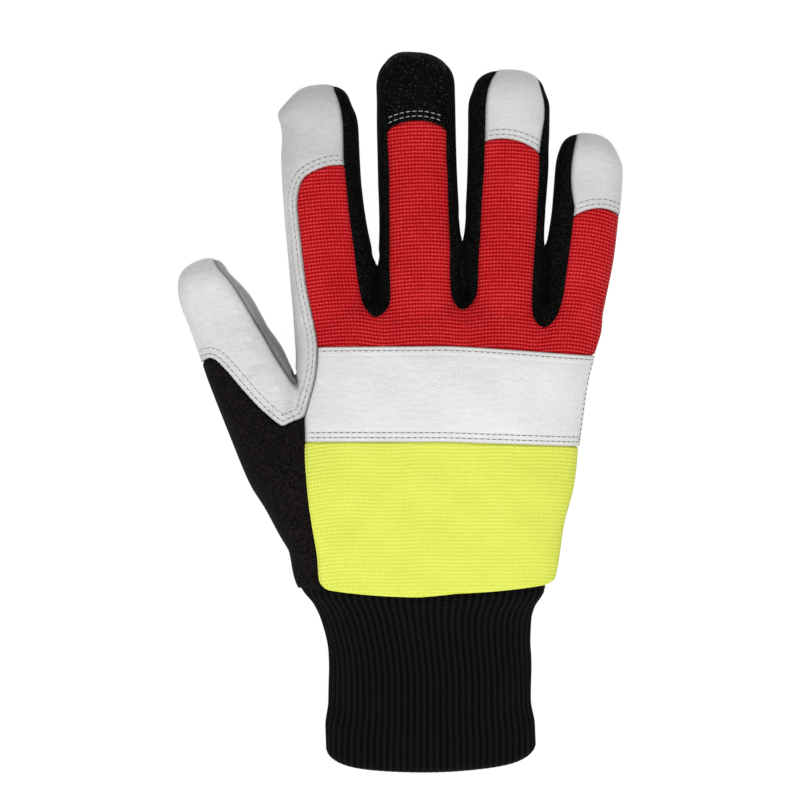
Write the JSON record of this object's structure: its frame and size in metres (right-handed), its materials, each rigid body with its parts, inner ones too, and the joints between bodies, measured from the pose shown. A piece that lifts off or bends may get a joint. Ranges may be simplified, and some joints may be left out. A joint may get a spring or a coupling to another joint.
{
  "type": "chainsaw glove",
  "caption": "Right-hand chainsaw work glove with ribbed stretch back, leather knuckle band, thumb and fingertips, suede gusset and rib-knit cuff, lying palm down.",
  "frame": {"origin": "on the surface that the glove lies on, under the middle of the palm", "axes": "+Y from the wrist to the fingertips, +X from the thumb side to the little finger, +Z out of the back of the hand"},
  "size_m": [0.1741, 0.2795, 0.0357],
  "materials": {
    "white_leather": "smooth pale grey-white grain leather",
    "palm_leather": "smooth pale grey-white grain leather",
    "black_suede": "matt black suede",
    "black_grip": "black dimpled grip leather",
    "red_fabric": "red ribbed stretch fabric",
    "yellow_fabric": "high-visibility yellow ribbed stretch fabric",
    "black_fabric": "black brushed stretch fabric",
    "black_knit": "black rib knit"
  },
  "bodies": {
    "root": {"thumb_palm_leather": "palm_leather", "palm_leather": "palm_leather", "index_middle_fourchette": "black_fabric", "middle_ring_fourchette": "black_fabric", "ring_little_fourchette": "black_fabric", "index_thumb_leather": "white_leather", "thumb_gusset": "black_suede", "yellow_back": "yellow_fabric", "knuckle_band": "white_leather", "middle_tip": "black_grip", "ring_tip": "white_leather", "little_tip": "white_leather", "red_back": "red_fabric", "knit_cuff": "black_knit"}
  },
  "joints": []
}
